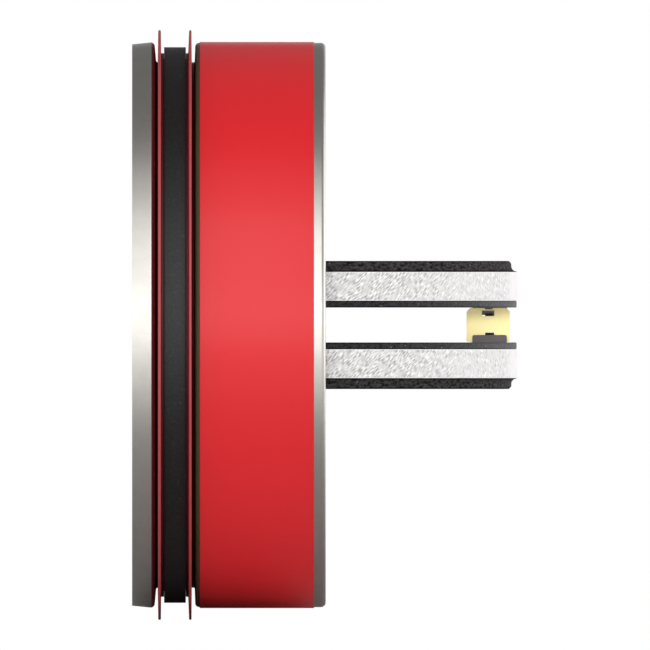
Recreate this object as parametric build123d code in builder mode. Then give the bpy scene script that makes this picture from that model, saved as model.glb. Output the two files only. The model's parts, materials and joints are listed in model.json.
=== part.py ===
from build123d import *
import os

# A round fire damper that slides into a duct. X is the duct axis and points downstream, the
# blades hinge on a shaft along Y, and Z is up. The origin is the middle of the shaft. Both
# blades stand open, held edge to edge by a soldered link, and swing 90 degrees to close.

# Driving dimensions, in millimetres
duct_diameter = 200.0
casing_radius = duct_diameter / 2 - 2.0
sheet = 0.8
rim_back = -41.64
trim = 0.3
rim_front = 25.63
rim_roll = 1.7
rim_flange = 3.0
taper_end = -35.29
taper_rise = 0.15
back_edge_drop = 0.5

groove_left = -33.25
groove_right = -19.93
groove_floor = 91.24
wall_lean_left = 0.62
wall_lean_right = 0.25
shoulder_round = 1.4
corner_left = 0.7
corner_right = 0.3

lip_tip = 102.4
lip_left = (-32.75, -32.58, -31.64, -31.54)
lip_right = (-22.16, -21.85, -21.01, -20.91)
seal_web = 94.4
channel = (-30.56, -22.96)
channel_floor = 92.4
strip_top = 96.5
strip_play = 0.05

label_span = (-18.16, 21.53)
label_thickness = 0.33

inner_face = 6.05
liner_thickness = 2.4
core_thickness = 10.0
facing_thickness = 3.8
core_radius = 92.14
liner_radius = 91.97
facing_radius = 90.14
facing_round = 1.4
flare_round = 1.8
flare_edge = 0.15
root_gap = 0.5

shaft_radius = 3.0
running_play = 0.05
shaft_half = 97.9
clip_inner = 96.1
clip_thickness = 0.8
clip_radius = 6.0
clip_groove_radius = 2.5

leaf_thickness = 1.0
leaf_near = 4.5
leaf_far = 16.5
leaf_half = 83.0
knuckle_length = 10.5
knuckle_inboard = 58.0
knuckle_outboard = 70.0
washer_thickness = 1.0
washer_radius = 5.2
sleeve_radius = 4.5
sleeve_play = 0.25

wire = 1.6
coil_radius = 4.2
coil_pitch = 1.7
coil_turns = 6.5
coil_start = 57.0
spring_leg = 15.0

rivet_x = 11.0
rivet_rows = (-72.0, -24.0, 24.0, 72.0)
rivet_shank = 2.0
rivet_head = 4.0
rivet_head_height = 1.2
pocket_depth = 1.5
pocket_play = 0.3

link_left = 74.53
link_right = 89.5
link_top = 5.95
link_bottom = -5.85
link_back = -0.1
plate_thickness = 0.8
plate_corner = 1.3
crown_notch = (80.9, 83.5)
crown_depth = 0.5
solder_half_height = 2.2
solder_gap = 0.13

bracket_sheet = 1.0
bracket_left = 76.54
bracket_right = 88.5
bracket_edge = 3.47
bracket_face = 1.1
bracket_flange = 13.0
bracket_corner = 0.7
hook_height = 4.7
bracket_rivets = (78.9, 86.1)
bracket_rivet_y = 8.5
small_shank = 1.5
small_head = 2.8
small_head_height = 1.0

# Levels that follow from them, for the upper blade
core_low = inner_face + liner_thickness
core_high = core_low + core_thickness
facing_high = core_high + facing_thickness
leaf_low = inner_face - leaf_thickness
eye_radius = shaft_radius + running_play
barrel_radius = eye_radius + leaf_thickness
link_front = link_back - plate_thickness
flange_low = core_low - bracket_sheet

os.makedirs("parts", exist_ok=True)


def save(piece, name):
    piece.label = name
    export_step(piece, f"parts/{name}.step")


def turned_over(piece):
    """The lower blade's copy of an upper piece: half a turn about the duct axis."""
    return piece.rotate(Axis.X, 180)


# Casing: one galvanised sheet rolled round, with a swaged groove and a front rim rolled inward
with BuildPart() as casing:
    with BuildSketch() as casing_wall:
        with BuildLine() as casing_line:
            FilletPolyline(
                (rim_back - trim, casing_radius - back_edge_drop),
                (taper_end, casing_radius + taper_rise),
                (groove_left - wall_lean_left, casing_radius + taper_rise),
                (groove_left, groove_floor),
                (groove_right, groove_floor),
                (groove_right + wall_lean_right, casing_radius),
                (rim_front, casing_radius),
                (rim_front, casing_radius - rim_flange),
                radius=[2.0, shoulder_round, corner_left, corner_right, shoulder_round, rim_roll],
            )
            offset(amount=sheet, side=Side.RIGHT)
        make_face()
    revolve(axis=Axis.X)
    split(bisect_by=Plane.YZ.offset(rim_back), keep=Keep.TOP)
    with BuildSketch(Plane.XZ) as shaft_hole:
        Circle(eye_radius)
    extrude(amount=duct_diameter / 2, both=True, mode=Mode.SUBTRACT)
save(casing.part, "casing")


# Lip seal: red rubber, two thin lips on a web that holds the intumescent strip in a channel
with BuildPart() as lip_seal:
    with BuildSketch() as seal_section:
        with BuildLine():
            foot_left, tip_left, tip_right, foot_right = lip_left
            Polyline(
                (foot_left + 0.3, groove_floor),
                (foot_left, groove_floor + 0.5),
                (tip_left, lip_tip),
                (tip_right, lip_tip),
                (foot_right, seal_web),
                (channel[0], seal_web),
                (channel[0], channel_floor),
                (channel[1], channel_floor),
                (channel[1], seal_web),
                (lip_right[0], seal_web),
                (lip_right[1], lip_tip),
                (lip_right[2], lip_tip),
                (lip_right[3], groove_floor),
                close=True,
            )
        make_face()
        fillet(seal_section.vertices().group_by(Axis.Y)[-1], 0.35)
    revolve(axis=Axis.X)
save(lip_seal.part, "lip_seal")


# Intumescent strip: a graphite band that swells in a fire, seated in the seal's channel
with BuildPart() as strip:
    with BuildSketch() as strip_section:
        with Locations(((channel[0] + channel[1]) / 2, (channel_floor + strip_top) / 2)):
            Rectangle(channel[1] - channel[0] - 2 * strip_play, strip_top - channel_floor)
        fillet(strip_section.vertices().group_by(Axis.Y)[-1], 0.4)
    revolve(axis=Axis.X)
save(strip.part, "intumescent_strip")


# Label band: bare printed film round the casing, which also covers the shaft's ends
with BuildPart() as label_band:
    with BuildSketch() as label_section:
        with Locations((sum(label_span) / 2, casing_radius + label_thickness / 2)):
            Rectangle(label_span[1] - label_span[0], label_thickness)
    revolve(axis=Axis.X)
save(label_band.part, "label_band")


# Hinge shaft: a steel pin across the casing, its ends flush in the wall, grooved for the clips
with BuildPart() as hinge_shaft:
    with BuildSketch(Plane.XZ) as shaft_section:
        Circle(shaft_radius)
    extrude(amount=shaft_half, both=True)
    chamfer(hinge_shaft.edges().filter_by(GeomType.CIRCLE), 0.3)
    for side in (1, -1):
        with BuildSketch(Plane.XZ.offset(side * (clip_inner - 0.05))) as clip_groove:
            Circle(shaft_radius + 1)
            Circle(clip_groove_radius, mode=Mode.SUBTRACT)
        extrude(amount=side * (clip_thickness + 0.1), mode=Mode.SUBTRACT)
save(hinge_shaft.part, "hinge_shaft")


# Shaft clips: an E-ring at each end, just inside the wall
with BuildPart() as shaft_clips:
    for side in (1, -1):
        with BuildSketch(Plane.XZ.offset(side * clip_inner)) as e_ring:
            Circle(clip_radius)
            Circle(clip_groove_radius + 0.02, mode=Mode.SUBTRACT)
            with Locations((clip_radius / 2, 0)):
                Rectangle(clip_radius, 3.6, mode=Mode.SUBTRACT)
            with PolarLocations(clip_groove_radius + 0.9, 2, start_angle=120, angular_range=240):
                Circle(1.1, mode=Mode.SUBTRACT)
        extrude(amount=side * clip_thickness)
save(shaft_clips.part, "shaft_clips")


def tube_on_shaft(start, end, radius):
    """A tube that slides on the shaft between two stations along Y."""
    with BuildPart() as tube:
        with BuildSketch(Plane.XZ.offset(-start)):
            Circle(radius)
            Circle(eye_radius, mode=Mode.SUBTRACT)
        extrude(amount=start - end)
        chamfer(tube.edges().filter_by(GeomType.CIRCLE).group_by(SortBy.RADIUS)[-1], 0.25)
    return tube.part


# Spacer sleeves and thrust washers keep the hinge knuckles and the springs in their places
sleeve_end = coil_start - coil_turns * coil_pitch - wire / 2 - sleeve_play
with BuildPart() as centre_sleeve:
    add(tube_on_shaft(-sleeve_end, sleeve_end, sleeve_radius))
save(centre_sleeve.part, "centre_sleeve")

sleeve_start = knuckle_outboard + knuckle_length + sleeve_play
with BuildPart() as outer_sleeves:
    add(tube_on_shaft(sleeve_start, clip_inner - 0.1, sleeve_radius))
    add(tube_on_shaft(-(clip_inner - 0.1), -sleeve_start, sleeve_radius))
save(outer_sleeves.part, "outer_sleeves")

washer_middle = (knuckle_inboard + knuckle_length + knuckle_outboard) / 2
with BuildPart() as thrust_washers:
    for side in (1, -1):
        middle = side * washer_middle
        add(tube_on_shaft(middle - washer_thickness / 2, middle + washer_thickness / 2, washer_radius))
save(thrust_washers.part, "thrust_washers")


# Torsion spring: a close coil round the shaft, with a tangent leg along each blade's inner face.
# It is wound with the blades open, and unwinds half a turn as they close.
with BuildPart() as spring:
    with BuildLine() as coil_line:
        coil = Helix(coil_pitch, coil_turns * coil_pitch, coil_radius)
    with BuildSketch(Plane(origin=coil @ 0, z_dir=coil % 0)) as wire_start:
        Circle(wire / 2)
    sweep(path=coil, is_frenet=True)
    extrude(wire_start.sketch, amount=-spring_leg)
    with BuildSketch(Plane(origin=coil @ 1, z_dir=coil % 1)) as wire_end:
        Circle(wire / 2)
    extrude(wire_end.sketch, amount=spring_leg)
coil_seat = Plane(origin=(0, coil_start, 0), x_dir=(0, 0, 1), z_dir=(0, -1, 0))
spring_left = coil_seat.location * spring.part
save(spring_left, "torsion_spring_left")
save(turned_over(spring_left), "torsion_spring_right")


def half_disc(low, high, radius):
    """One layer of a blade: a disc cut off straight beside the shaft."""
    with BuildPart() as layer:
        with BuildSketch(Plane.XY.offset(low)):
            Circle(radius)
        extrude(amount=high - low)
        split(bisect_by=Plane.YZ.offset(root_gap), keep=Keep.TOP)
    return layer.part


def blade_core():
    """Calcium silicate board, with counterbored holes for the hinge and bracket rivets."""
    with BuildPart() as core:
        add(half_disc(core_low, core_high, core_radius))
        with Locations(*[(rivet_x, y, core_high) for y in rivet_rows]):
            CounterBoreHole(rivet_shank, rivet_head + pocket_play, pocket_depth)
        with Locations(*[(x, bracket_rivet_y, core_high) for x in bracket_rivets]):
            CounterBoreHole(small_shank, small_head + pocket_play, pocket_depth)
    return core.part


def blade_facing():
    """Black outer layer, whose rounded rim steps in to enter the groove's bore when closed."""
    foot = core_radius - flare_edge
    step = core_high + flare_edge + foot - facing_radius
    with BuildPart() as facing:
        with BuildSketch(Plane.XZ) as rim_section:
            with BuildLine():
                Line((0, core_high), (foot, core_high))
                Line((foot, core_high), (foot, core_high + flare_edge))
                RadiusArc((foot, core_high + flare_edge), (facing_radius, step), flare_round + 0.05)
                Line((facing_radius, step), (facing_radius, facing_high - facing_round))
                RadiusArc(
                    (facing_radius, facing_high - facing_round),
                    (facing_radius - facing_round, facing_high),
                    -facing_round,
                )
                Line((facing_radius - facing_round, facing_high), (0, facing_high))
                Line((0, facing_high), (0, core_high))
            make_face()
        revolve(axis=Axis.Z)
        split(bisect_by=Plane.YZ.offset(root_gap), keep=Keep.TOP)
    return facing.part


def blade_liner():
    """Dark inner layer, with rivet holes, a slot for the bracket's tab and a pocket for its flange."""
    with BuildPart() as liner:
        add(half_disc(inner_face, core_low, liner_radius))
        with Locations(*[(rivet_x, y, core_low) for y in rivet_rows]):
            Hole(rivet_shank)
        with Locations(*[(x, bracket_rivet_y, core_low) for x in bracket_rivets]):
            Hole(small_head + pocket_play)
        middle = (bracket_left + bracket_right) / 2
        width = bracket_right - bracket_left + pocket_play
        with BuildSketch(Plane.XY.offset(inner_face)):
            with Locations((middle, bracket_face + bracket_sheet / 2)):
                Rectangle(width, bracket_sheet + pocket_play)
        extrude(amount=liner_thickness, mode=Mode.SUBTRACT)
        with BuildSketch(Plane.XY.offset(flange_low)):
            with Locations((middle, bracket_face + bracket_flange / 2)):
                Rectangle(width, bracket_flange + pocket_play)
        extrude(amount=bracket_sheet, mode=Mode.SUBTRACT)
    return liner.part


def hinge_leaf():
    """Steel strip along the blade's straight edge, with two barrels rolled round the shaft."""
    with BuildPart() as leaf:
        with BuildSketch(Plane.XY.offset(leaf_low)) as strip_outline:
            with Locations(((leaf_near + leaf_far) / 2, 0)):
                Rectangle(leaf_far - leaf_near, 2 * leaf_half)
            fillet(strip_outline.vertices().group_by(Axis.X)[-1], 3.0)
        extrude(amount=leaf_thickness)
        for start in (knuckle_outboard, -knuckle_inboard - knuckle_length):
            with BuildSketch(Plane.XZ.offset(-start)) as barrel:
                Circle(barrel_radius)
                with Locations((2.6, -2.0)):
                    Rectangle(4.0, 0.5, rotation=-35, mode=Mode.SUBTRACT)
                with BuildLine() as joggle:
                    FilletPolyline(
                        (0, barrel_radius - leaf_thickness / 2),
                        (1.4, barrel_radius - leaf_thickness / 2),
                        (3.6, inner_face - leaf_thickness / 2),
                        (leaf_near + 1, inner_face - leaf_thickness / 2),
                        radius=1.0,
                    )
                trace(line_width=leaf_thickness)
                Circle(eye_radius, mode=Mode.SUBTRACT)
            extrude(amount=-knuckle_length)
        with Locations(*[(rivet_x, y, inner_face) for y in rivet_rows]):
            Hole(rivet_shank)
    return leaf.part


def rivet_group(points, low, high, shank, head, head_height):
    """Rivets with a domed head below `low` and a flat closed head that ends at `high`."""
    with BuildPart() as rivets:
        for x, y in points:
            with Locations((x, y, low)):
                Cylinder(shank, high - low, align=(Align.CENTER, Align.CENTER, Align.MIN))
                Cylinder(head, head_height, align=(Align.CENTER, Align.CENTER, Align.MAX))
            with Locations((x, y, high)):
                Cylinder(head, head_height, align=(Align.CENTER, Align.CENTER, Align.MAX))
        heads = rivets.edges().filter_by(GeomType.CIRCLE).group_by(Axis.Z)[0]
        fillet(heads, 0.7 * head_height)
    return rivets.part


def link_bracket(hook_level, hook_left, hook_right):
    """Steel angle under the liner: a tab down beside the link, ending in a hook bent through it."""
    tab_middle = bracket_face + bracket_sheet / 2
    with BuildPart() as bracket:
        with BuildSketch(Plane.YZ.offset(bracket_left)) as angle_section:
            with BuildLine():
                FilletPolyline(
                    (tab_middle, bracket_edge),
                    (tab_middle, core_low - bracket_sheet / 2),
                    (bracket_face + bracket_flange, core_low - bracket_sheet / 2),
                    radius=0.6,
                )
            trace(line_width=bracket_sheet)
        extrude(amount=bracket_right - bracket_left)
        fillet(bracket.edges().filter_by(Axis.Y).group_by(Axis.Z)[0], bracket_corner)
        with BuildSketch(Plane.YZ.offset(hook_left)) as hook_section:
            with BuildLine():
                FilletPolyline(
                    (tab_middle, bracket_edge + 2.0),
                    (tab_middle, hook_level),
                    (-tab_middle, hook_level),
                    (-tab_middle, hook_height),
                    radius=0.9,
                )
            trace(line_width=bracket_sheet)
        extrude(amount=hook_right - hook_left)
        with Locations(*[(x, bracket_rivet_y, core_low) for x in bracket_rivets]):
            Hole(small_shank)
    return bracket.part


def link_plate(slot_x, slot_z, notch_x, notch_top, low_cut):
    """Half of the fusible link: a closed slot for its own hook, an open notch for the other's."""
    with BuildPart() as plate:
        with BuildSketch(Plane.XZ.offset(-link_front)) as plate_outline:
            with Locations(((link_left + link_right) / 2, (link_top + link_bottom) / 2)):
                Rectangle(link_right - link_left, link_top - link_bottom)
            chamfer(plate_outline.vertices().group_by(Axis.Y)[-1], plate_corner)
            chamfer(plate_outline.vertices().group_by(Axis.Y)[0], low_cut)
            with Locations((sum(crown_notch) / 2, link_top)):
                Rectangle(crown_notch[1] - crown_notch[0], 2 * crown_depth, mode=Mode.SUBTRACT)
            with Locations((sum(slot_x) / 2, sum(slot_z) / 2)):
                RectangleRounded(slot_x[1] - slot_x[0], slot_z[1] - slot_z[0], 0.2, mode=Mode.SUBTRACT)
            with Locations((sum(notch_x) / 2, (notch_top + link_bottom) / 2)):
                Rectangle(notch_x[1] - notch_x[0], notch_top - link_bottom, mode=Mode.SUBTRACT)
        extrude(amount=-plate_thickness)
    return plate.part


def link_solder():
    """Fusible alloy between the link's plates: a thin film that stays on the lower blade's plate."""
    with BuildPart() as film:
        with BuildSketch(Plane.XZ.offset(-link_back)):
            with Locations(((link_left + link_right) / 2, 0)):
                RectangleRounded(link_right - link_left - 1.4, 2 * solder_half_height, 0.8)
        extrude(amount=-solder_gap)
    return film.part


# The upper blade's hook rests in a wide slot, and the lower blade's hook in a narrow one
upper_hook = (3.75, 80.95, 83.65)
lower_hook = (3.17, 80.95, 84.1)
upper_plate = ((79.88, 84.15), (3.06, 5.0), (80.85, 84.2), -2.6, 0.3)
lower_plate = ((80.75, 84.3), (2.55, 4.8), (79.7, 84.2), -2.9, 1.6)

rivet_points = [(rivet_x, y) for y in rivet_rows]
bracket_points = [(x, bracket_rivet_y) for x in bracket_rivets]
shared_pieces = {
    "core": blade_core(),
    "facing": blade_facing(),
    "liner": blade_liner(),
    "hinge_leaf": hinge_leaf(),
    "hinge_rivets": rivet_group(
        rivet_points, leaf_low, core_high - 0.1, rivet_shank, rivet_head, rivet_head_height
    ),
    "bracket_rivets": rivet_group(
        bracket_points, flange_low, core_high - 0.1, small_shank, small_head, small_head_height
    ),
}
for name, piece in shared_pieces.items():
    save(piece, f"upper_{name}")
    save(turned_over(piece), f"lower_{name}")

save(link_bracket(*upper_hook), "upper_link_bracket")
save(turned_over(link_bracket(*lower_hook)), "lower_link_bracket")
save(link_plate(*upper_plate), "upper_link_plate")
save(turned_over(link_plate(*lower_plate)), "lower_link_plate")
save(turned_over(link_solder()), "link_solder")
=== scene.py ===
import json
from math import pi, radians

import bmesh
import bpy
import numpy as np
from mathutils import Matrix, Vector


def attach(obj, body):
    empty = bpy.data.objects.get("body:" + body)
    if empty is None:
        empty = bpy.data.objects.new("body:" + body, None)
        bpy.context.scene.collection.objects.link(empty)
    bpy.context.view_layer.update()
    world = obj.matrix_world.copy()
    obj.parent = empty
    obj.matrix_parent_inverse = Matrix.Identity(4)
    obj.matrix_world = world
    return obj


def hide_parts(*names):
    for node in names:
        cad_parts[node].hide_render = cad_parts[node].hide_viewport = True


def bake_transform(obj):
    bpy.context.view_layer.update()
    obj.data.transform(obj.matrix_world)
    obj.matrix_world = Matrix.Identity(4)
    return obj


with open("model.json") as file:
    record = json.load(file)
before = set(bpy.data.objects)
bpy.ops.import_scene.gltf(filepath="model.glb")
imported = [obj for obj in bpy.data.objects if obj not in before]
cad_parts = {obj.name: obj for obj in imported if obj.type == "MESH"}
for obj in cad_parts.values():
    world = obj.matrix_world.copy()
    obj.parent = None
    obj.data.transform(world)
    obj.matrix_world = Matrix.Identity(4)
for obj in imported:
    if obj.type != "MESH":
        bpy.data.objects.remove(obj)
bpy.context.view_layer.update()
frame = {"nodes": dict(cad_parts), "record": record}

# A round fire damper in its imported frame: X is the duct axis and points downstream, the hinge
# shaft lies along Y, and Z is up. The part's sizes are in millimetres, and MM turns them to metres.
# The stage's are in metres.
MM = 0.001

# Casing, a rolled sheet with a groove for the seal. Its line runs on by trim behind the back rim,
# where it is then cut off square.
casing_radius = 98.0
sheet = 0.8
rim_back = -41.64
trim = 0.3
rim_front = 25.63
rim_roll = 1.7
rim_flange = 3.0
taper_end = -35.29
taper_round = 2.0
taper_rise = 0.15
back_edge_drop = 0.5
groove_left = -33.25
groove_right = -19.93
groove_floor = 91.24
wall_lean_left = 0.62
wall_lean_right = 0.25
shoulder_round = 1.4
corner_left = 0.7
corner_right = 0.3

# Lip seal, intumescent strip and label. A lip is given by four places along the duct: the foot
# of its left side, its tip's two corners, and the foot of its right side.
lip_tip = 102.4
lip_left = (-32.75, -32.58, -31.64, -31.54)
lip_right = (-22.16, -21.85, -21.01, -20.91)
tip_round = 0.35
seal_web = 94.4
channel = (-30.56, -22.96)
channel_floor = 92.4
strip_top = 96.5
strip_play = 0.02
strip_round = 0.15
label_span = (-18.16, 21.53)
label_thickness = 0.33
label_round = 0.15

# Painted shade and painted reflection on the zinc beside the seal: the span along the duct, the
# two radii and the colour. The dark red over the left shoulder is a painted reflection of the red
# lip in shade, and the dark red on the groove's floor and walls is painted shade in the narrow
# groove with a painted reflection of the rubber. The olive over the right shoulder, up to the
# label, is painted shade.
painted_shade_bands = (
    ((groove_left - 1.65, groove_left - 0.6), (96.6, casing_radius + 1), "#5a1b20"),
    ((groove_right + 0.1, label_span[0]), (96.8, casing_radius + 1), "#484833"),
    ((groove_left - 0.6, groove_right + 0.25), (groove_floor - 0.05, 96.6), "#5c0a09"),
)

# Blades: liner, board and facing, counted from the middle plane
inner_face = 6.05
liner_thickness = 2.4
core_thickness = 10.0
facing_thickness = 3.8
core_radius = 92.14
liner_radius = 91.97
facing_radius = 90.14
facing_round = 1.4
flare_round = 1.85
flare_edge = 0.15
root_gap = 0.5
core_low = inner_face + liner_thickness
core_high = core_low + core_thickness
facing_high = core_high + facing_thickness

# Root of the upper bracket's hook: its two ends along x, and the corners of its section in y and z
hook_root_ends = (81.0, 84.1)
hook_root_section = ((1.15, 3.09), (2.05, 3.09), (2.05, 3.5), (1.15, 3.5))

# Torsion springs on the shaft
wire = 1.6
coil_radius = 4.2
coil_pitch = 1.7
coil_turns = 6.5
coil_start = 57.0
spring_leg = 15.0
leg_bend = 0.4

# Meshes: points nearer than this are one, steps round the duct axis, and for each kind of piece
# the angle in degrees over which an edge stays sharp
same_point = 1e-4
around = 360
sharp_metal = 35.0
sharp_ring = 50.0
sharp_layer = 55.0

# The photograph's framing: its 650 pixels cover this width, centred here along the duct axis
view_width = 225.76
view_centre = 25.355
camera_distance = 900.0


# Shapes


def hills(x, y, seed):
    """Smooth random hills on a plane, between -1 and 1 and about one unit across.

    Every whole-numbered corner has a random slope. A point adds up the four slopes round it, each
    times its distance from that corner, shared out by 6t^5 - 15t^4 + 10t^3, and the sum is
    stretched by a half. The pattern repeats after 256 units."""
    repeat = 256
    stretch = 1.5
    turn = np.random.default_rng(seed).random((repeat, repeat)) * 2 * pi
    column = np.floor(x).astype(int)
    row = np.floor(y).astype(int)
    across = x - column
    up = y - row
    share_x = across**3 * (across * (across * 6 - 15) + 10)
    share_y = up**3 * (up * (up * 6 - 15) + 10)
    total = 0.0
    for i in (0, 1):
        for j in (0, 1):
            slope = turn[(column + i) % repeat, (row + j) % repeat]
            height = np.cos(slope) * (across - i) + np.sin(slope) * (up - j)
            weight = (share_x if i else 1 - share_x) * (share_y if j else 1 - share_y)
            total = total + weight * height
    return stretch * total


def smooth_step(value, start, width):
    """0 up to the start and 1 from a width further on, with 3t^2 - 2t^3 between them.

    A negative width turns it round: 1 up to start + width, and 0 from the start on."""
    t = np.clip((value - start) / width, 0, 1)
    return t * t * (3 - 2 * t)


def rounded_line(corners, radii, steps=10):
    """A line through the corners, with an arc of its radius at each inner one.

    The arc touches both runs at radius / tan(half the angle between them) from the corner, and its
    points turn evenly from the one touching direction to the other."""
    corners = np.array(corners, float)
    points = [corners[:1]]
    for before, corner, after, radius in zip(corners, corners[1:], corners[2:], radii):
        back = (before - corner) / np.linalg.norm(before - corner)
        on = (after - corner) / np.linalg.norm(after - corner)
        half = np.arccos(np.clip(back @ on, -1, 1)) / 2
        middle = (back + on) / np.linalg.norm(back + on)
        centre = corner + middle * radius / np.sin(half)
        first = corner + back * radius / np.tan(half) - centre
        last = corner + on * radius / np.tan(half) - centre
        turn = pi - 2 * half
        t = np.linspace(0, 1, steps)[:, None]
        arc = (np.sin((1 - t) * turn) * first + np.sin(t * turn) * last) / np.sin(turn)
        points.append(centre + arc)
    points.append(corners[-1:])
    return np.vstack(points)


def closed_section(corners, radii, steps):
    """A rounded line that ends where it starts, without its last point, which is the first again."""
    return rounded_line([*corners, corners[0]], radii, steps)[:-1]


def moved_aside(line, distance):
    """The line moved to its right: each point goes along the mean of its two runs' normals."""
    run = np.diff(line, axis=0)
    run = run / np.linalg.norm(run, axis=1)[:, None]
    tangent = np.vstack([run[:1], run[:-1] + run[1:], run[-1:]])
    tangent = tangent / np.linalg.norm(tangent, axis=1)[:, None]
    return line + distance * np.stack([tangent[:, 1], -tangent[:, 0]], axis=1)


def mesh_of_grid(name, points, wrap_rows, wrap_columns, sharp, hollow=None):
    """A mesh of four-cornered faces over a grid of points, (row, column, 3) in millimetres.

    Corner (i, j) joins (i + 1, j), (i + 1, j + 1) and (i, j + 1), and a wrapped side joins its
    last line to its first. Points that meet are merged, and the faces are turned outwards. hollow,
    from 0 to 1 at each point, is kept with the mesh for its material to read."""
    rows, columns = points.shape[:2]
    i = np.arange(rows if wrap_rows else rows - 1)[:, None]
    j = np.arange(columns if wrap_columns else columns - 1)[None, :]
    down = (i + 1) % rows
    right = (j + 1) % columns
    corners = [i * columns + j, down * columns + j, down * columns + right, i * columns + right]
    faces = np.stack([np.broadcast_to(c, (i.size, j.size)) for c in corners], axis=-1)
    mesh = bpy.data.meshes.new(name)
    mesh.vertices.add(rows * columns)
    mesh.vertices.foreach_set("co", (points * MM).astype(np.float32).ravel())
    mesh.loops.add(faces.size)
    mesh.loops.foreach_set("vertex_index", faces.astype(np.int32).ravel())
    mesh.polygons.add(i.size * j.size)
    mesh.polygons.foreach_set("loop_start", np.arange(0, faces.size, 4, dtype=np.int32))
    mesh.update(calc_edges=True)
    if hollow is not None:
        layer = mesh.attributes.new("hollow", "FLOAT", "POINT")
        layer.data.foreach_set("value", hollow.astype(np.float32).ravel())
    return closed_mesh(mesh, sharp)


def closed_mesh(mesh, sharp):
    """Merges points that meet, closes open ends, turns faces outwards, and shades smooth but for
    the sharp edges."""
    work = bmesh.new()
    work.from_mesh(mesh)
    bmesh.ops.remove_doubles(work, verts=work.verts, dist=same_point * MM)
    open_edges = [edge for edge in work.edges if edge.is_boundary]
    if open_edges:
        bmesh.ops.holes_fill(work, edges=open_edges)
    bmesh.ops.recalc_face_normals(work, faces=work.faces)
    work.to_mesh(mesh)
    work.free()
    mesh.shade_smooth()
    mesh.set_sharp_from_angle(angle=radians(sharp))
    return mesh


def piece(name, mesh, material, cad_node):
    """A finished piece at the origin, which stands for a CAD node."""
    made = bpy.data.objects.new(name, mesh)
    bpy.context.scene.collection.objects.link(made)
    mesh.materials.clear()
    mesh.materials.append(material)
    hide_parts(cad_node)
    return made


def body_of(cad_node):
    """The name of the body that a CAD node rides on."""
    bodies = frame["record"]["behaviour"]["bodies"]
    return next(name for name, members in bodies.items() if cad_node in members)


def ring_piece(name, section, material, cad_node):
    """A closed section carried round the duct axis, as a piece of the casing's body.

    A point (x, r) of the section stands at (x, r cos a, r sin a) at the angle a."""
    angle = np.linspace(0, 2 * pi, around, endpoint=False)[:, None]
    x = np.broadcast_to(section[:, 0], (around, len(section)))
    radius = section[:, 1]
    points = np.stack([x, radius * np.cos(angle), radius * np.sin(angle)], axis=-1)
    mesh = mesh_of_grid(name, points, True, True, sharp_ring)
    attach(piece(name, mesh, material, cad_node), "casing")


def half_layer(profile, relief, turn, columns, full_cut):
    """One layer of a blade, a half disc cut off straight beside the shaft, and how hollow it is.

    A column at angle a goes up the rim at (r cos a, r sin a, z), where r is the profile's radius
    less the relief there, and comes down the straight edge, at x = root_gap and the same y.
    turn is 1 for the upper blade and -1 for the lower one, half a turn about the duct axis. The
    relief fades out over edge_fade at the rim's two borders, and the straight edge has none, only
    a hollowness of its own.
    With full_cut the straight edge takes every level, so that it can't bridge a hollow profile at
    its two ends. Otherwise it takes the first and the last."""
    edge_fade = 0.35
    # The straight cut face gets an even painted shade
    cut_hollow = 0.4
    angle = np.linspace(-pi / 2, pi / 2, columns)[:, None]
    radius, level = profile[:, 0], profile[:, 1]
    edge = np.minimum(level - level.min(), level.max() - level)
    depth, hollow = relief(liner_radius * turn * angle, turn * level[None, :], edge)
    deep = radius - depth * smooth_step(edge, 0, edge_fade)
    x = np.maximum(deep * np.cos(angle), root_gap)
    y = deep * np.sin(angle)
    z = np.broadcast_to(level, x.shape)
    rim = np.stack([x, y * turn, z * turn], axis=-1)
    back = np.arange(len(profile))[::-1] if full_cut else [-1, 0]
    size = (columns, len(back))
    cut_x = np.full(size, root_gap)
    cut = np.stack([cut_x, (y * turn)[:, back], (z * turn)[:, back]], axis=-1)
    flat = np.full(size, cut_hollow)
    return np.concatenate([rim, cut], axis=1), np.concatenate([hollow, flat], axis=1)


def tube_along(path, sideways, radius):
    """A round wire along a path, as a ring of points about each of the path's.

    A ring is radius * (sideways cos t + other sin t), where other is square to both the path and
    the sideways direction, so that the tube never twists."""
    sides = 14
    ahead = np.gradient(path, axis=0)
    ahead = ahead / np.linalg.norm(ahead, axis=1)[:, None]
    sideways = sideways - (sideways * ahead).sum(axis=1)[:, None] * ahead
    sideways = sideways / np.linalg.norm(sideways, axis=1)[:, None]
    other = np.cross(ahead, sideways)
    t = np.linspace(0, 2 * pi, sides, endpoint=False)[None, :, None]
    return path[:, None] + radius * (sideways[:, None] * np.cos(t) + other[:, None] * np.sin(t))


def smooth_copy(cad_node, material, bevel_width):
    """A CAD node's loose triangles joined into one mesh, its edges broken by a fine bevel
    when the bevel width isn't 0.
    """
    mesh = frame["nodes"][cad_node].data.copy()
    work = bmesh.new()
    work.from_mesh(mesh)
    bmesh.ops.remove_doubles(work, verts=work.verts, dist=10 * same_point * MM)
    bmesh.ops.dissolve_limit(work, angle_limit=radians(0.5), verts=work.verts, edges=work.edges)
    work.to_mesh(mesh)
    work.free()
    mesh.shade_smooth()
    mesh.set_sharp_from_angle(angle=radians(sharp_metal))
    made = piece("fine_" + cad_node, mesh, material, cad_node)
    if bevel_width:
        bevel = made.modifiers.new("broken_edges", "BEVEL")
        bevel.width = bevel_width * MM
        bevel.segments = 2
        bevel.limit_method = "ANGLE"
        bevel.angle_limit = radians(sharp_metal)
        bevel.harden_normals = True
    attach(made, body_of(cad_node))


# Reliefs of the blades' rims. Each takes s, the way along the rim from the tip, z, the level, and
# edge, the distance from the nearer border, all in millimetres. It gives the depth below the true
# rim there, and from 0 to 1 how much painted shade the place gets, most in its hollows.


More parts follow.
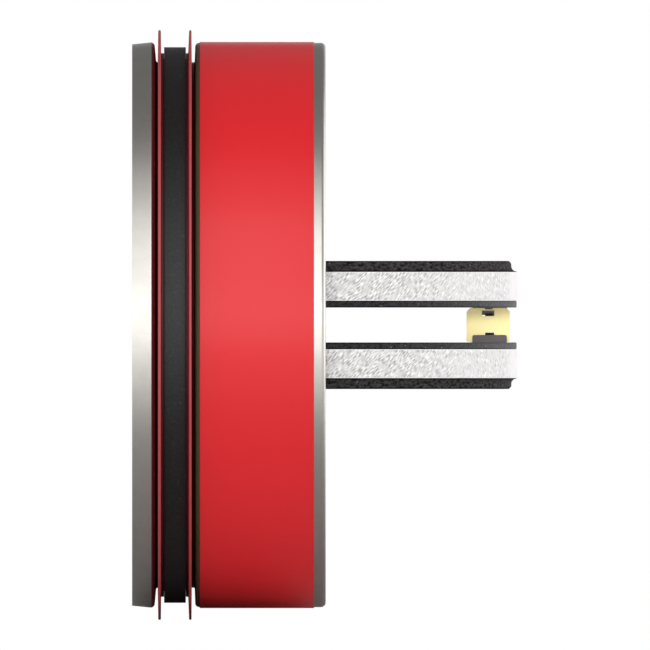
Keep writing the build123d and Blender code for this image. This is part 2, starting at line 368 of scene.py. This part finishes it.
def saw_strokes(s, z, lean, seed):
    """Short strokes side by side that lean by an angle: raised ones near 1 and cut ones near -1.

    They are hills stretched 4 to 1 that way, under half a millimetre wide, which broader hills
    fade in and out, so that a few patches stay plain."""
    along = s * np.cos(lean) + z * np.sin(lean)
    across = z * np.cos(lean) - s * np.sin(lean)
    strokes = hills(along / 1.7, across / 0.42, seed)
    strength = smooth_step(0.75 + 0.9 * hills(along / 3.5, across / 2.2, seed + 1), 0, 1)
    return np.clip(1.5 * strokes, -1, 1) * strength


def board_relief(seed):
    """The board's sawn edge: strokes, a few pits, and broad shallow hollows.

    The strokes rise with x beside the casing and fall towards the tip. All of it grows faint
    towards the tip, which is nearly smooth as the two borders are. Its hollows get painted shade,
    and the edge gets the casing's painted shadow where it leaves the casing."""
    rising = radians(42)
    falling = radians(-56)

    def relief(s, z, edge):
        past = np.abs(s)
        near_tip = smooth_step(past, 72.0, -22.0)
        strokes = (1 - near_tip) * saw_strokes(s, z, rising, seed)
        strokes = strokes + near_tip * saw_strokes(s, z, falling, seed + 2)
        strong = (0.6 + 0.4 * smooth_step(past, 55.0, 40.0)) * smooth_step(past, 16.0, 14.0)
        pits = smooth_step(hills(s / 0.9, z / 0.7, seed + 4), 0.6, 0.2) * strong
        hollows = 0.5 + 0.5 * hills(s / 3.1, z / 2.3, seed + 5)
        # Painted shadow of the casing, where the edge goes in under it
        painted_shade = 0.45 * smooth_step(past, 118.0, 4.0)
        # Painted shade, darkest in the cut strokes, pits and hollows
        hollow_shade = (0.4 * hollows - 0.75 * strokes) * strong + 0.4 * pits + 0.15 + 0.12 * strong + painted_shade
        depth = 0.08 * (1 - strokes) * strong + 0.12 * pits + 0.05 * hollows
        return depth, np.clip(hollow_shade, 0, 1) * smooth_step(edge, 0, 0.4)

    return relief


def facing_relief(seed):
    """The laminate's pressed grain: rounded lumps about a millimetre across, finer ones on them,
    and a few pits. Its hollows and pits get painted shade, and its two borders are painted as
    dark as them."""

    def relief(s, z, edge):
        lumps = 0.5 + 0.5 * hills(s / 1.7, z / 0.85, seed)
        fine = 0.5 + 0.5 * hills(s / 0.6, z / 0.45, seed + 1)
        pits = smooth_step(hills(s / 0.9, z / 0.7, seed + 2), 0.5, 0.2)
        border = 1 - smooth_step(edge, 0.15, 0.45)
        # Painted shade in the hollows and pits and along the two borders
        hollow_shade = np.clip(1.7 * lumps + 0.9 * fine - 0.85 + 0.8 * pits + border, 0, 1)
        return 0.1 * lumps + 0.05 * fine + 0.1 * pits, hollow_shade

    return relief


# Materials: colours are sRGB hex values, and each pattern has the real one's size in millimetres


def linear(code):
    """An sRGB hex colour as linear red, green, blue and full alpha."""
    values = [int(code[k : k + 2], 16) / 255 for k in (1, 3, 5)]
    return [v / 12.92 if v <= 0.04045 else ((v + 0.055) / 1.055) ** 2.4 for v in values] + [1.0]


def plug(tree, made, sockets):
    """Gives each of a node's sockets its value, or a link from another node's output."""
    for key, value in sockets.items():
        if isinstance(value, bpy.types.NodeSocket):
            tree.links.new(value, made.inputs[key])
        else:
            made.inputs[key].default_value = value


def node(tree, kind, sockets, **settings):
    """Adds a node: settings are its own options, and sockets hold values or other nodes' outputs."""
    made = tree.nodes.new("ShaderNode" + kind)
    for key, value in settings.items():
        setattr(made, key, value)
    plug(tree, made, sockets)
    return made


def new_material(name):
    """A new material, its tree, its shader, and the place on the object."""
    material = bpy.data.materials.new(name)
    material.use_nodes = True
    tree = material.node_tree
    shader = tree.nodes["Principled BSDF"]
    place = node(tree, "TexCoord", {}).outputs["Object"]
    return material, tree, shader, place


def noise(tree, place, size, detail):
    """Soft random clouds of about the size, from 0 to 1."""
    sockets = {"Vector": place, "Scale": 1 / (size * MM), "Detail": detail}
    return node(tree, "TexNoise", sockets).outputs["Fac"]


def cells(tree, place, size):
    """Random cells of about the size: Color is a cell's own, and Distance is from its centre."""
    return node(tree, "TexVoronoi", {"Vector": place, "Scale": 1 / (size * MM)}).outputs


def remap(tree, value, old=(0.0, 1.0), new=(0.0, 1.0), **settings):
    """A value moved from the old range to the new one, and held at its ends."""
    ranges = {"From Min": old[0], "From Max": old[1], "To Min": new[0], "To Max": new[1]}
    return node(tree, "MapRange", {"Value": value, **ranges}, **settings).outputs["Result"]


def combined(tree, operation, first, second, clamp=False):
    """Two values put through one operation, such as a sum, and held from 0 to 1 with clamp."""
    made = node(tree, "Math", {0: first, 1: second}, operation=operation, use_clamp=clamp)
    return made.outputs["Value"]


def mixed(tree, share, *colours):
    """The first colour at a share of 0 and the second at 1, each a hex value or an output."""
    first, second = [linear(c) if isinstance(c, str) else c for c in colours]
    sockets = {"Factor": share, "A": first, "B": second}
    return node(tree, "Mix", sockets, data_type="RGBA").outputs["Result"]


def bumped(tree, height, strength, depth):
    """The normal of a surface roughened by a height from 0 to 1, as deep as the depth."""
    sockets = {"Height": height, "Strength": strength, "Distance": depth * MM}
    return node(tree, "Bump", sockets).outputs["Normal"]


def ramp(tree, value, start, end):
    """0 at the start and 1 at the end, both in millimetres, and straight between them."""
    return remap(tree, value, (start * MM, end * MM))


def place_on_duct(tree, place):
    """How far a place is along the duct axis, and how far out from it."""
    along = node(tree, "SeparateXYZ", {"Vector": place}).outputs["X"]
    across = node(tree, "VectorMath", {0: place, 1: (0, 1, 1)}, operation="MULTIPLY")
    out = node(tree, "VectorMath", {0: across.outputs["Vector"]}, operation="LENGTH")
    return along, out.outputs["Value"]


def band(tree, place, span, radii):
    """1 on a band round the duct axis, between two places along it and two radii.

    Past them it fades to 0 over a soft edge."""
    soft = 0.15
    along, out = place_on_duct(tree, place)
    share = ramp(tree, along, span[0] - soft, span[0])
    edges = [
        ramp(tree, along, span[1] + soft, span[1]),
        ramp(tree, out, radii[0] - soft, radii[0]),
        ramp(tree, out, radii[1] + soft, radii[1]),
    ]
    for edge in edges:
        share = combined(tree, "MULTIPLY", share, edge)
    return share


def galvanised_sheet():
    """Hot-dip galvanised steel sheet, passed through smooth rolls: a satin zinc grey.

    Its spangle is a few millimetres across and shows as faint changes of grey and of gloss. The
    painted shade and painted reflection beside the seal cover the bare metal."""
    material, tree, shader, place = new_material("galvanised_sheet")
    spangle = remap(tree, cells(tree, place, size=3.5)["Color"], new=(0.30, 0.62))
    tone = mixed(tree, spangle, "#c0bdb7", "#cfccc7")
    bare = 1.0
    # Each band is painted shade or a painted reflection, laid over the zinc
    for span, radii, colour in painted_shade_bands:
        share = band(tree, place, span, radii)
        tone = mixed(tree, share, tone, colour)
        bare = combined(tree, "SUBTRACT", bare, share, clamp=True)
    cloud = noise(tree, place, size=14, detail=4.0)
    grain = noise(tree, place, size=0.5, detail=3.0)
    plug(tree, shader, {
        "Base Color": tone,
        "Metallic": bare,
        "Roughness": remap(tree, cloud, new=(0.33, 0.43)),
        "Specular IOR Level": 0.1,
        "Normal": bumped(tree, grain, strength=0.08, depth=0.02),
    })
    return material


def seal_rubber():
    """Extruded red silicone rubber: a soft, slightly chalky red with a dull sheen.

    Its web, between the lips, is painted darker, as painted shade deep between them."""
    painted_shade_top = 95.9
    painted_shade_full = 95.3
    material, tree, shader, place = new_material("silicone_rubber")
    bloom = noise(tree, place, size=6, detail=5.0)
    # Painted shade: darker below these radii, on the web and at the lips' feet
    painted_shade = ramp(tree, place_on_duct(tree, place)[1], painted_shade_top, painted_shade_full)
    grain = noise(tree, place, size=0.35, detail=2.0)
    plug(tree, shader, {
        "Base Color": mixed(tree, painted_shade, mixed(tree, bloom, "#a7383a", "#b34042"), "#6c1214"),
        "Roughness": 0.5,
        "Normal": bumped(tree, grain, strength=0.15, depth=0.03),
    })
    return material


def graphite_strip():
    """Expandable graphite in rubber, cut from sheet: almost black, with small flakes in it."""
    material, tree, shader, place = new_material("graphite_sheet")
    flakes = remap(tree, cells(tree, place, size=0.8)["Color"], (0.86, 0.98))
    grain = noise(tree, place, size=0.8, detail=4.0)
    mottle = remap(tree, grain, (0.4, 0.65), (0.0, 0.4))
    light = combined(tree, "ADD", flakes, mottle, clamp=True)
    plug(tree, shader, {
        "Base Color": mixed(tree, light, "#101010", "#2a2a2b"),
        "Roughness": 0.5,
        "Specular IOR Level": 0.42,
        "Normal": bumped(tree, grain, strength=0.5, depth=0.08),
    })
    return material


def label_film():
    """Red printed polyester film, laminated: a clear strong red under a satin coat."""
    material, tree, shader, place = new_material("laminated_film")
    sweep = noise(tree, place, size=40, detail=2.0)
    peel = noise(tree, place, size=5, detail=2.0)
    plug(tree, shader, {
        "Base Color": mixed(tree, sweep, "#d61b23", "#dd1e26"),
        "Roughness": 0.33,
        "Specular IOR Level": 0.38,
        "Normal": bumped(tree, peel, strength=0.05, depth=0.05),
    })
    return material


def painted_hollow_shade(tree, place, size, detail, drift):
    """Painted shade, as hollow as the mesh says a place is, with a mottle that drifts to either
    side of it.
    """
    hollow = node(tree, "Attribute", {}, attribute_name="hollow").outputs["Fac"]
    shift = remap(tree, noise(tree, place, size, detail), new=(-drift, drift))
    return combined(tree, "ADD", hollow, shift, clamp=True)


def silicate_board():
    """Calcium silicate board: chalky white with no gloss, and painted shade in the saw's grooves."""
    material, tree, shader, place = new_material("calcium_silicate")
    share = painted_hollow_shade(tree, place, size=1.2, detail=5.0, drift=0.2)
    grain = noise(tree, place, size=0.4, detail=3.0)
    plug(tree, shader, {
        "Base Color": mixed(tree, share, "#fbf9f9", "#aaa7a7"),
        "Roughness": 0.92,
        "Normal": bumped(tree, grain, strength=0.3, depth=0.06),
    })
    return material


def pressed_graphite(name, dark, light, roughness, gloss):
    """Pressed graphite laminate: near black, painted grey on its raised grain and darker in its
    hollows as painted shade, with a few light flecks."""
    material, tree, shader, place = new_material(name)
    share = painted_hollow_shade(tree, place, size=0.9, detail=4.0, drift=0.5)
    crystals = cells(tree, place, size=1.1)
    near_centre = remap(tree, crystals["Distance"], (0.24, 0.1))
    rare = remap(tree, crystals["Color"], (0.76, 0.8))
    fleck = combined(tree, "MULTIPLY", near_centre, rare)
    grain = noise(tree, place, size=0.5, detail=3.0)
    plug(tree, shader, {
        "Base Color": mixed(tree, fleck, mixed(tree, share, light, dark), "#8f8d8e"),
        "Roughness": roughness,
        "Specular IOR Level": gloss,
        "Normal": bumped(tree, grain, strength=0.3, depth=0.06),
    })
    return material


def metal(name, dark, light, roughness, grain_size):
    """Plain metal with a fine grain: its colour and gloss drift between two near tones."""
    gloss_drift = 0.05
    material, tree, shader, place = new_material(name)
    drift = noise(tree, place, size=3, detail=4.0)
    grain = noise(tree, place, grain_size, detail=3.0)
    plug(tree, shader, {
        "Base Color": mixed(tree, drift, dark, light),
        "Metallic": 1.0,
        "Roughness": remap(tree, drift, new=(roughness - gloss_drift, roughness + gloss_drift)),
        "Normal": bumped(tree, grain, strength=0.1, depth=0.02),
    })
    return material


def rolled_brass():
    """Rolled brass sheet, satin: pale yellow, with a tan painted shade in its upper half."""
    top_shade_full = 5.0
    drift = 1.0
    material, tree, shader, place = new_material("rolled_brass")
    height = node(tree, "SeparateXYZ", {"Vector": place}).outputs["Z"]
    shift = remap(tree, noise(tree, place, size=5, detail=3.0), new=(-drift * MM, drift * MM))
    level = combined(tree, "ADD", height, shift)
    # Painted shade under the upper blade, darkest at the plate's top
    top_shade = remap(tree, level, (0.0, top_shade_full * MM), interpolation_type="SMOOTHSTEP")
    grain = noise(tree, place, size=0.2, detail=3.0)
    plug(tree, shader, {
        "Base Color": mixed(tree, top_shade, "#ded198", "#bdb080"),
        "Metallic": 1.0,
        "Roughness": 0.33,
        "Normal": bumped(tree, grain, strength=0.1, depth=0.02),
    })
    return material


zinc = galvanised_sheet()
rubber = seal_rubber()
graphite = graphite_strip()
film = label_film()
board = silicate_board()
# Facing: graphite laminate, matt
facing_black = pressed_graphite(
    "graphite_laminate", "#0c0b0b", "#474445", roughness=0.7, gloss=0.05
)
# Liner: the same laminate, pressed smoother, so that it shines at a low angle
liner_black = pressed_graphite(
    "smooth_laminate", "#050506", "#2e2f33", roughness=0.42, gloss=0.18
)
# Turned and drawn steel: bright zinc plate on the shaft, sleeves, washers and rivets
bright_steel = metal("zinc_plated_steel", "#a9a9aa", "#bcbcbb", roughness=0.30, grain_size=0.3)
# Patented spring wire: darker, with drawing marks
spring_steel = metal("spring_wire", "#6c6d70", "#84858a", roughness=0.35, grain_size=0.2)
# Phosphated sheet steel on the link's brackets: a dull grey with a trace of purple
dark_steel = metal("phosphated_steel", "#766f73", "#847d81", roughness=0.48, grain_size=0.25)
brass = rolled_brass()
# Tin-bismuth solder film
solder = metal("fusible_solder", "#8d8e90", "#a0a1a2", roughness=0.40, grain_size=0.3)

# The small metal pieces, taken over from the CAD model: the material of each, and the width of
# the bevel that breaks its edges, in millimetres
hardware = {
    "hinge_shaft": (bright_steel, 0),
    "shaft_clips": (spring_steel, 0),
    "centre_sleeve": (bright_steel, 0),
    "outer_sleeves": (bright_steel, 0),
    "thrust_washers": (bright_steel, 0),
    "link_solder": (solder, 0),
}
for side in ("upper", "lower"):
    hardware[f"{side}_hinge_leaf"] = (zinc, 0)
    hardware[f"{side}_hinge_rivets"] = (bright_steel, 0)
    hardware[f"{side}_bracket_rivets"] = (bright_steel, 0)
    hardware[f"{side}_link_bracket"] = (dark_steel, 0.12)
    hardware[f"{side}_link_plate"] = (brass, 0.1)


# Casing with its seal, strip and label


def make_casing():
    """The rolled sheet: its outer line from the back rim to the rolled front rim, and the inner one
    a sheet's thickness beside it."""
    outer = rounded_line(
        [
            (rim_back - trim, casing_radius - back_edge_drop),
            (taper_end, casing_radius + taper_rise),
            (groove_left - wall_lean_left, casing_radius + taper_rise),
            (groove_left, groove_floor),
            (groove_right, groove_floor),
            (groove_right + wall_lean_right, casing_radius),
            (rim_front, casing_radius),
            (rim_front, casing_radius - rim_flange),
        ],
        [taper_round, shoulder_round, corner_left, corner_right, shoulder_round, rim_roll],
    )
    inner = moved_aside(outer, sheet)
    section = np.vstack([outer, inner[::-1]])
    section[:, 0] = np.maximum(section[:, 0], rim_back)
    ring_piece("rolled_casing", section, zinc, "casing")


def make_lip_seal():
    """The seal's section: two lips on a web, with a channel for the strip between them."""
    foot_left, tip_left, tip_right, foot_right = lip_left
    web_foot, near_tip, far_tip, wall_foot = lip_right
    section = closed_section(
        [
            ((foot_left + foot_right) / 2, groove_floor),
            (foot_left, groove_floor + 0.5),
            (tip_left, lip_tip),
            (tip_right, lip_tip),
            (foot_right, seal_web),
            (channel[0], seal_web),
            (channel[0], channel_floor),
            (channel[1], channel_floor),
            (channel[1], seal_web),
            (web_foot, seal_web),
            (near_tip, lip_tip),
            (far_tip, lip_tip),
            (wall_foot, groove_floor),
        ],
        [0.1, tip_round, tip_round, 0.2, 0.1, 0.05, 0.05, 0.1, 0.2, tip_round, tip_round, 0.05],
        steps=6,
    )
    ring_piece("double_lip_seal", section, rubber, "lip_seal")


def make_strip():
    """The strip's section: a flat band with crisp upper corners, in the seal's channel."""
    left = channel[0] + strip_play
    right = channel[1] - strip_play
    section = closed_section(
        [
            ((left + right) / 2, channel_floor),
            (left, channel_floor),
            (left, strip_top),
            (right, strip_top),
            (right, channel_floor),
        ],
        [0.1, strip_round, strip_round, 0.1],
        steps=6,
    )
    ring_piece("swelling_strip", section, graphite, "intumescent_strip")


def make_label():
    """The label's section: a thin film with rounded edges on the casing. It is left bare."""
    top = casing_radius + label_thickness
    section = closed_section(
        [
            (0, casing_radius),
            (label_span[0], casing_radius),
            (label_span[0], top),
            (label_span[1], top),
            (label_span[1], casing_radius),
        ],
        [0.02, label_round, label_round, 0.02],
        steps=5,
    )
    ring_piece("film_band", section, film, "label_band")


# Blades


def levels(low, high, spacing):
    """Evenly spaced levels from low to high, about the spacing apart."""
    return np.linspace(low, high, int(round((high - low) / spacing)) + 1)


def upright_profile(radius, low, high, spacing, broken):
    """An upright rim, as (radius, level) points, with both its edges broken back over 0.4 mm."""
    level = levels(low, high, spacing)
    edge = np.minimum(level - low, high - level)
    return np.stack([radius - broken * (1 - smooth_step(edge, 0, 0.4)), level], axis=1)


def facing_profile():
    """The facing's rim, from its thin foot up a hollow quarter round to the step and over the top."""
    foot = core_radius - flare_edge
    step = core_high + flare_edge + flare_round
    t = np.linspace(0, pi / 2, 10)[:, None]
    hollow = np.hstack([foot - flare_round * np.sin(t), step - flare_round * np.cos(t)])
    top = facing_high - facing_round
    upright = levels(step, top, 0.2)[1:-1, None]
    upright = np.hstack([np.full_like(upright, facing_radius), upright])
    t = np.linspace(0, pi / 2, 9)[:, None]
    shoulder_radius = facing_radius - facing_round * (1 - np.cos(t))
    shoulder = np.hstack([shoulder_radius, top + facing_round * np.sin(t)])
    return np.vstack([[[foot, core_high]], hollow, upright, shoulder])


def make_blade(side, turn, seed):
    """The three layers of one blade, each with its own rim's profile and relief.

    The last number of a layer is how many columns of points go round its rim."""
    core = upright_profile(core_radius, core_low, core_high, spacing=0.2, broken=0.22)
    liner = upright_profile(liner_radius, inner_face, core_low, spacing=0.15, broken=0.25)
    facing = facing_profile()
    rough = facing_relief(seed + 20)
    smooth = facing_relief(seed + 40)
    layers = [
        ("core", "board", board, "silicate_board", core, board_relief(seed), 1650),
        ("facing", "facing", facing_black, "black_facing", facing, rough, 1300),
        ("liner", "liner", liner_black, "dark_liner", liner, smooth, 1300),
    ]
    for layer, word, material, slot, profile, relief, columns in layers:
        name = f"{side}_{word}_layer"
        grid, hollow = half_layer(profile, relief, turn, columns, full_cut=layer == "facing")
        mesh = mesh_of_grid(name, grid, False, True, sharp_layer, hollow)
        made = piece(name, mesh, material, f"{side}_{layer}")
        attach(made, f"{side}_blade")


def make_hook_root():
    """The root of the upper bracket's hook, where its sheet reaches 0.4 mm below the tab's edge."""
    ends = [[(x, y, z) for y, z in hook_root_section] for x in hook_root_ends]
    mesh = mesh_of_grid("upper_hook_root", np.array(ends), False, True, sharp_metal)
    made = piece("upper_hook_root", mesh, dark_steel, "upper_link_bracket")
    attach(made, "upper_blade")


# Torsion springs


def spring_path():
    """The wire's centre line, and the direction from the shaft's axis at each point.

    It is a leg along +x above the shaft, a helix of coil_turns about the shaft, and a leg below,
    with a short bend between each leg and the helix."""
    points_a_turn = 40
    leg_points = 16
    t = np.linspace(0, 2 * pi * coil_turns, int(points_a_turn * coil_turns))
    outward = np.stack([-np.sin(t), np.zeros_like(t), np.cos(t)], axis=1)
    coil = coil_radius * outward
    coil[:, 1] = coil_start - coil_pitch * t / (2 * pi)
    slope = coil_pitch / (2 * pi * coil_radius)
    run = np.linspace(spring_leg, leg_bend, leg_points)[:, None]
    first = coil[0] + run * np.array([1.0, slope, 0.0])
    last = coil[-1] + run[::-1] * np.array([1.0, -slope, 0.0])
    path = np.vstack([first, coil, last])
    first_away = np.repeat(outward[:1], leg_points, axis=0)
    last_away = np.repeat(outward[-1:], leg_points, axis=0)
    return path, np.vstack([first_away, outward, last_away])


def make_springs():
    """Each spring as two half coils, an outer and an inner one.

    The right spring is the left one after half a turn about the duct axis, which swaps the
    blades."""
    path, away = spring_path()
    half = len(path) // 2
    coil_end = coil_start - coil_turns * coil_pitch
    for side, turn in (("left", 1), ("right", -1)):
        flip = np.array([1, turn, turn])
        spring = f"torsion_spring_{side}"
        near, far = ("upper_blade", "lower_blade")[::turn]
        halves = [
            ("outer", slice(0, half + 1), near, coil_start),
            ("inner", slice(half, None), far, coil_end),
        ]
        for word, part, blade, end in halves:
            name = f"{spring}_{word}_coil"
            grid = tube_along(path[part] * flip, away[part] * flip, wire / 2)
            mesh = mesh_of_grid(name, grid, False, True, sharp_metal)
            made = piece(name, mesh, spring_steel, spring)
            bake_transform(made)


# Stage: camera, lamps, floor and backdrop, in metres


def make_camera():
    """A camera square to the object's side, with no perspective, as in the photograph."""
    data = bpy.data.cameras.new("camera")
    data.type = "ORTHO"
    data.ortho_scale = view_width * MM
    data.clip_end = 50.0
    camera = bpy.data.objects.new("camera", data)
    camera.location = Vector((view_centre, -camera_distance, 0)) * MM
    camera.rotation_euler = (pi / 2, 0, 0)
    bpy.context.scene.collection.objects.link(camera)
    bpy.context.scene.camera = camera


def panel(name, place, target, width, height, radiance):
    """A rectangular lamp at a place, turned to a target and hidden from the camera.

    A surface that it fills the view of gets its radiance, so its energy is 4 * area * radiance."""
    data = bpy.data.lights.new(name, "AREA")
    data.shape = "RECTANGLE"
    data.size = width
    data.size_y = height
    data.energy = 4 * width * height * radiance
    lamp = bpy.data.objects.new(name, data)
    lamp.location = place
    away = Vector(place) - Vector(target)
    lamp.rotation_euler = away.to_track_quat("Z", "Y").to_euler()
    lamp.visible_camera = False
    bpy.context.scene.collection.objects.link(lamp)


def sees_background(tree):
    """1 for the rays that show the white background: camera, glossy and transmission rays."""
    path = node(tree, "LightPath", {}).outputs
    first = combined(tree, "MAXIMUM", path["Is Camera Ray"], path["Is Glossy Ray"])
    return combined(tree, "MAXIMUM", first, path["Is Transmission Ray"])


def stage_material(name):
    """A new material without a shader, and its tree."""
    material = bpy.data.materials.new(name)
    material.use_nodes = True
    material.node_tree.nodes.clear()
    return material, material.node_tree


def pale_floor():
    """Matt grey under the object, where it keeps the shadow. It turns white away from it.

    Glossy rays see it darker, as the dim table that the real metal reflects."""
    white_start = 0.1
    white_end = 0.45
    under_object = (0, -0.04, 0)
    material, tree = stage_material("pale_floor")
    place = node(tree, "TexCoord", {}).outputs["Object"]
    distance = node(tree, "VectorMath", {0: place, 1: under_object}, operation="DISTANCE")
    far = remap(
        tree, distance.outputs["Value"], (white_start, white_end), interpolation_type="SMOOTHSTEP"
    )
    share = combined(tree, "MULTIPLY", far, sees_background(tree))
    glossy = node(tree, "LightPath", {}).outputs["Is Glossy Ray"]
    grey = remap(tree, glossy, new=(0.88, 0.36))
    paint = node(tree, "BsdfDiffuse", {"Color": grey}).outputs["BSDF"]
    white = node(tree, "Emission", {"Strength": 1.0}).outputs["Emission"]
    surface = node(tree, "MixShader", {0: share, 1: paint, 2: white}).outputs["Shader"]
    node(tree, "OutputMaterial", {"Surface": surface})
    return material


def white_backdrop():
    """White to look at, and a dim light on the object."""
    material, tree = stage_material("white_backdrop")
    strength = remap(tree, sees_background(tree), new=(0.3, 1.0))
    white = node(tree, "Emission", {"Strength": strength}).outputs["Emission"]
    node(tree, "OutputMaterial", {"Surface": white})
    return material


def make_stage():
    """A round floor just under the seal's lips, a wall round it, and a plain grey sky above."""
    floor_level = -(lip_tip + 0.4) * MM
    wall_distance = 6.0
    wall_span = (-1.2, 1.5)
    sides = 96
    angle = np.linspace(0, 2 * pi, sides, endpoint=False)
    ring = wall_distance * np.stack([np.cos(angle), np.sin(angle), np.zeros(sides)], axis=1)
    up = np.array([0, 0, 1])
    disc = bpy.data.meshes.new("floor")
    disc.from_pydata((ring + floor_level * up).tolist(), [], [list(range(sides))])
    disc.materials.append(pale_floor())
    ends = np.vstack([ring + wall_span[0] * up, ring + wall_span[1] * up])
    following = [(i, (i + 1) % sides) for i in range(sides)]
    tube = bpy.data.meshes.new("backdrop")
    tube.from_pydata(ends.tolist(), [], [(i, j, j + sides, i + sides) for i, j in following])
    tube.materials.append(white_backdrop())
    for mesh in (disc, tube):
        made = bpy.data.objects.new(mesh.name, mesh)
        bpy.context.scene.collection.objects.link(made)

    world = bpy.data.worlds.new("studio")
    world.use_nodes = True
    bpy.context.scene.world = world
    tree = world.node_tree
    strength = remap(tree, sees_background(tree), new=(0.52, 0.21))
    plug(tree, tree.nodes["Background"], {"Strength": strength, "Color": (1, 1, 1, 1)})


bpy.context.scene.view_settings.view_transform = "Standard"
make_camera()
# Each lamp's place, target, width, height and radiance
panel("front_panel", (0.0, -0.45, 0.2), (0.0, 0, 0.2), 0.32, 0.51, 1.5)
panel("top_panel", (0.0, -0.36, 0.53), (0.0, 0, 0), 0.42, 0.18, 0.55)
panel("table_card", (0.0, -0.31, -0.1), (0.0, -0.31, 0), 0.42, 0.18, 0.2)
panel("right_panel", (0.52, 0.08, 0.2), (0.06, 0, 0.2), 0.7, 0.6, 1.15)
panel("left_panel", (-0.5, -0.2, 0.13), (0, 0, 0), 0.5, 0.44, 0.8)
make_stage()

make_casing()
make_lip_seal()
make_strip()
make_label()
make_blade("upper", turn=1, seed=11)
make_blade("lower", turn=-1, seed=71)
make_hook_root()
make_springs()
for cad_node, (material, bevel_width) in hardware.items():
    smooth_copy(cad_node, material, bevel_width)
